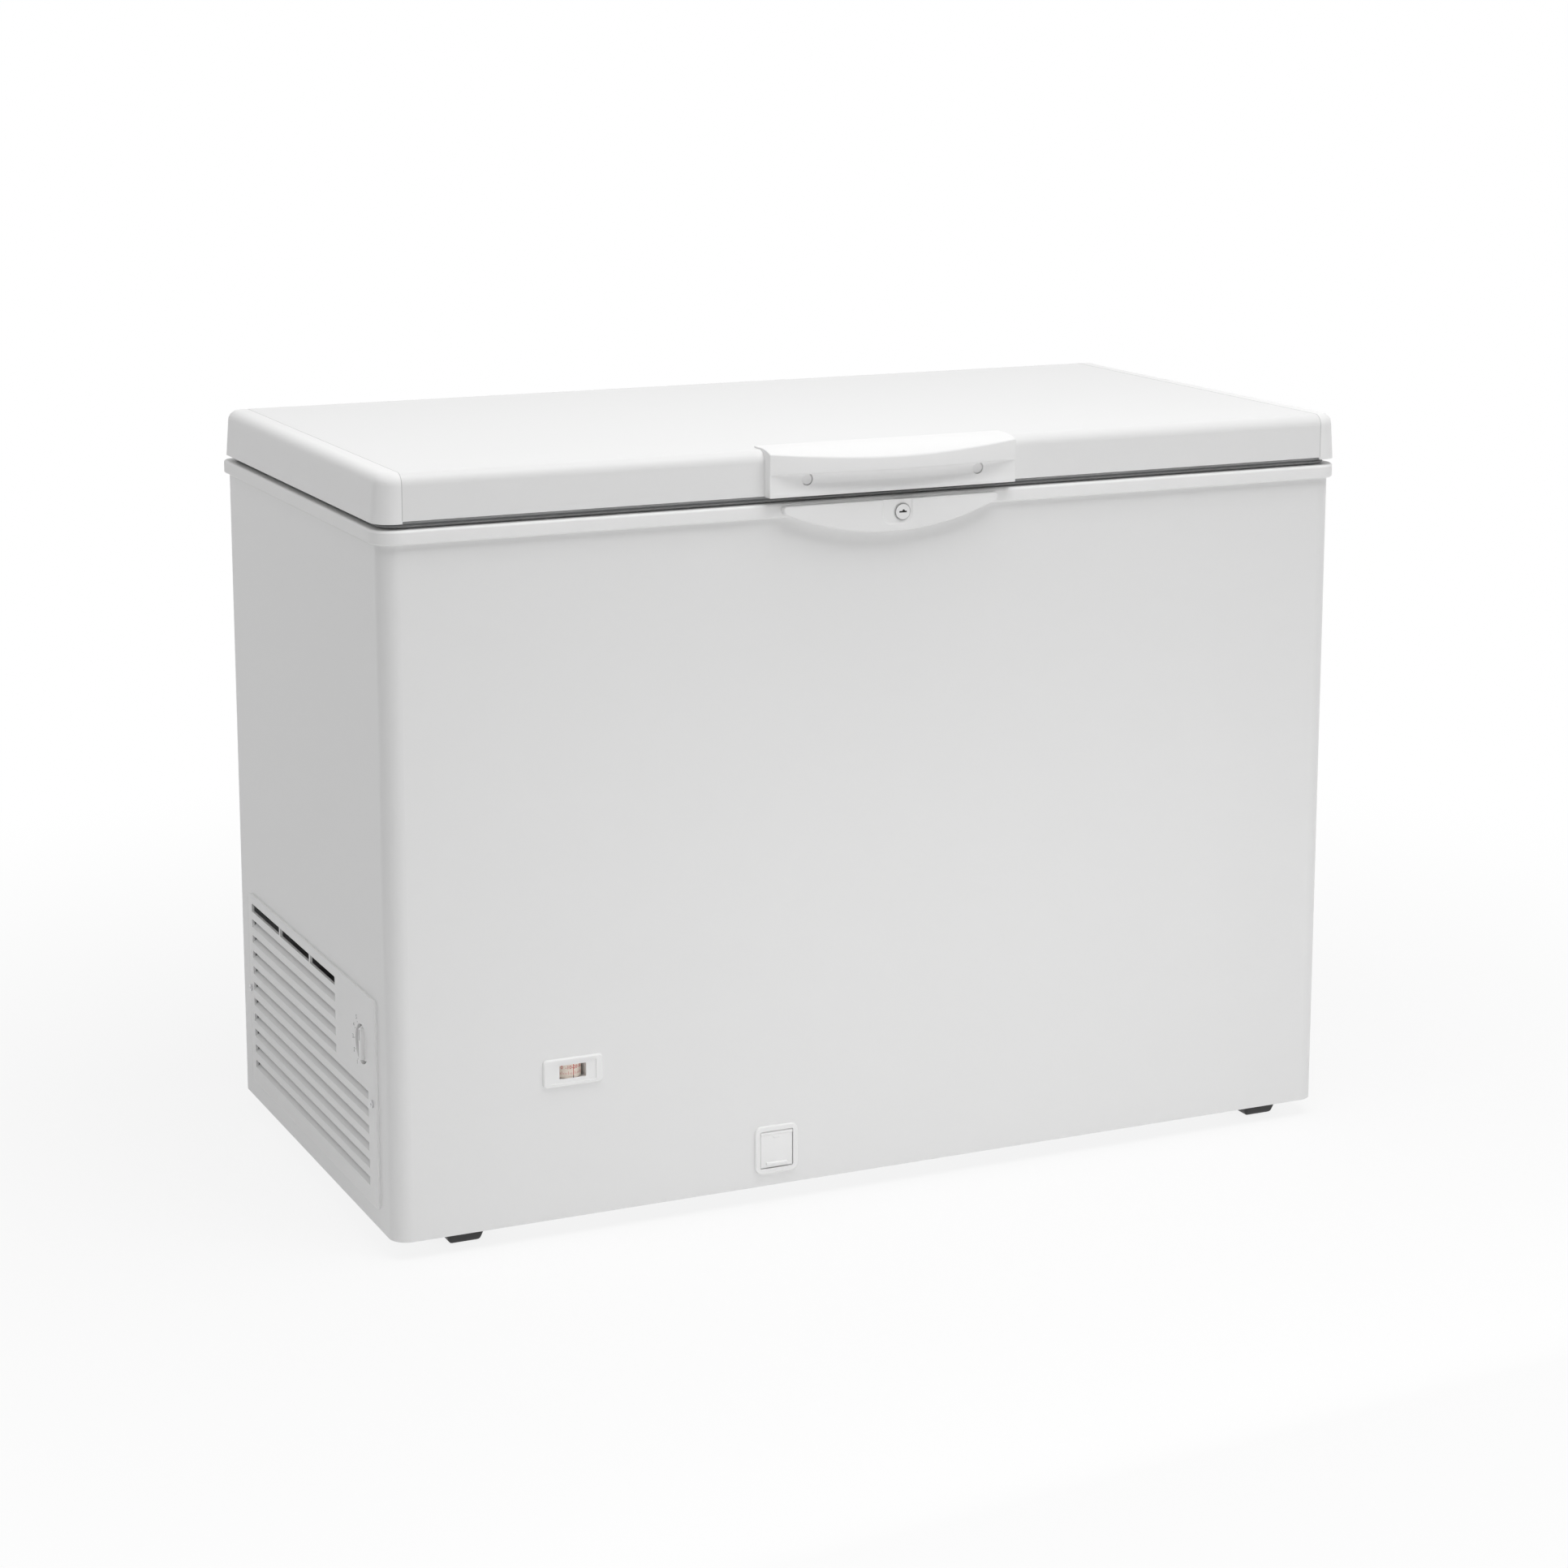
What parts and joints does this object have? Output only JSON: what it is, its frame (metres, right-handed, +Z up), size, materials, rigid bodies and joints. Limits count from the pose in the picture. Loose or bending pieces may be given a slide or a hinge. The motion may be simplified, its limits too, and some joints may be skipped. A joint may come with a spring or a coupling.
{
  "type": "chest freezer",
  "caption": "White chest freezer with a hinged insulated lid, key lock under the handle, side grille with thermostat knob, front thermometer and drain flap.",
  "frame": {"origin": "on the floor, under the middle of the freezer's bounding box", "axes": "+X to the right seen from the front, +Y to the back, +Z up"},
  "size_m": [1.132, 0.6125, 0.8238],
  "materials": {
    "cabinet_paint": "satin",
    "lid_paint": "satin",
    "white_plastic": "satin",
    "seal_grey": "matte",
    "tub_lining": "satin",
    "zinc_steel": "satin",
    "bright_steel": "polished",
    "screw_steel": "satin",
    "insulation": "matte",
    "black_plastic": "matte",
    "black_paint": "satin",
    "copper": "satin",
    "black_rubber": "matte",
    "scale_cream": "satin"
  },
  "bodies": {
    "cabinet": {"cabinet_wrap": "cabinet_paint", "rear_panel": "zinc_steel", "base_plate": "zinc_steel", "inner_liner": "tub_lining", "cabinet_foam": "insulation", "rim_collar": "white_plastic", "compressor_bay": "zinc_steel", "grille_panel": "white_plastic", "cable_gland": "black_plastic", "evaporator_coil": "copper", "condenser_coil": "copper", "compressor_shell": "black_paint", "relay_cover": "black_plastic", "compressor_grommets": "black_rubber", "compressor_bolts": "screw_steel", "suction_pipe": "copper", "discharge_pipe": "copper", "filter_drier": "copper", "thermostat_body": "black_plastic", "lock_plate": "white_plastic", "lock_sleeve": "bright_steel", "thermometer_bezel": "white_plastic", "thermometer_case": "white_plastic", "thermometer_spindle": "bright_steel", "drain_frame": "white_plastic", "drain_flap_pin": "bright_steel", "drain_pipe": "white_plastic", "foot_front_left": "black_plastic", "foot_front_right": "black_plastic", "foot_rear_left": "black_plastic", "foot_rear_right": "black_plastic", "foot_screws": "screw_steel", "hinge_base_left": "zinc_steel", "hinge_base_right": "zinc_steel", "hinge_pin_left": "bright_steel", "hinge_pin_right": "bright_steel", "hinge_plunger_left": "bright_steel", "hinge_plunger_right": "bright_steel", "hinge_spring_left": "bright_steel", "hinge_spring_right": "bright_steel", "grille_screws": "screw_steel", "hinge_base_screws": "screw_steel"},
    "lid": {"lid_top_panel": "lid_paint", "lid_end_cap_left": "white_plastic", "lid_end_cap_right": "white_plastic", "lid_inner_liner": "white_plastic", "lid_foam": "insulation", "lid_gasket": "seal_grey", "handle": "white_plastic", "handle_screw_caps": "white_plastic", "handle_screws": "screw_steel", "hinge_arm_left": "zinc_steel", "hinge_arm_right": "zinc_steel", "hinge_arm_screws": "screw_steel"},
    "knob": {"thermostat_knob": "white_plastic"},
    "lock": {"lock_barrel": "bright_steel", "lock_cam": "bright_steel"},
    "flap": {"drain_flap": "white_plastic"},
    "drum": {"thermometer_drum": "scale_cream"},
    "plug": {"drain_plug": "black_rubber"}
  },
  "joints": [
    {"name": "lid_hinge", "type": "hinge", "parent": "cabinet", "child": "lid", "pos_m": [0, 0.29675, 0.772], "axis": [-1, 0, 0], "range_deg": [0, 80]},
    {"name": "thermostat_turn", "type": "hinge", "parent": "cabinet", "child": "knob", "pos_m": [-0.563, -0.18325, 0.21], "axis": [-1, 0, 0], "range_deg": [0, 270]},
    {"name": "lock_turn", "type": "hinge", "parent": "cabinet", "child": "lock", "pos_m": [0.012, -0.28725, 0.749], "axis": [0, -1, 0], "range_deg": [0, 90]},
    {"name": "drain_flap_swing", "type": "hinge", "parent": "cabinet", "child": "flap", "pos_m": [-0.1295, -0.27405, 0.079], "axis": [-1, 0, 0], "range_deg": [0, 90]},
    {"name": "thermometer_turn", "type": "hinge", "parent": "cabinet", "child": "drum", "pos_m": [-0.363, -0.25615, 0.1805], "axis": [0, 0, 1], "range_deg": [-40, 40]},
    {"name": "drain_plug_lift", "type": "slide", "parent": "cabinet", "child": "plug", "axis": [0, 0, 1], "range_m": [0, 0.08]}
  ]
}
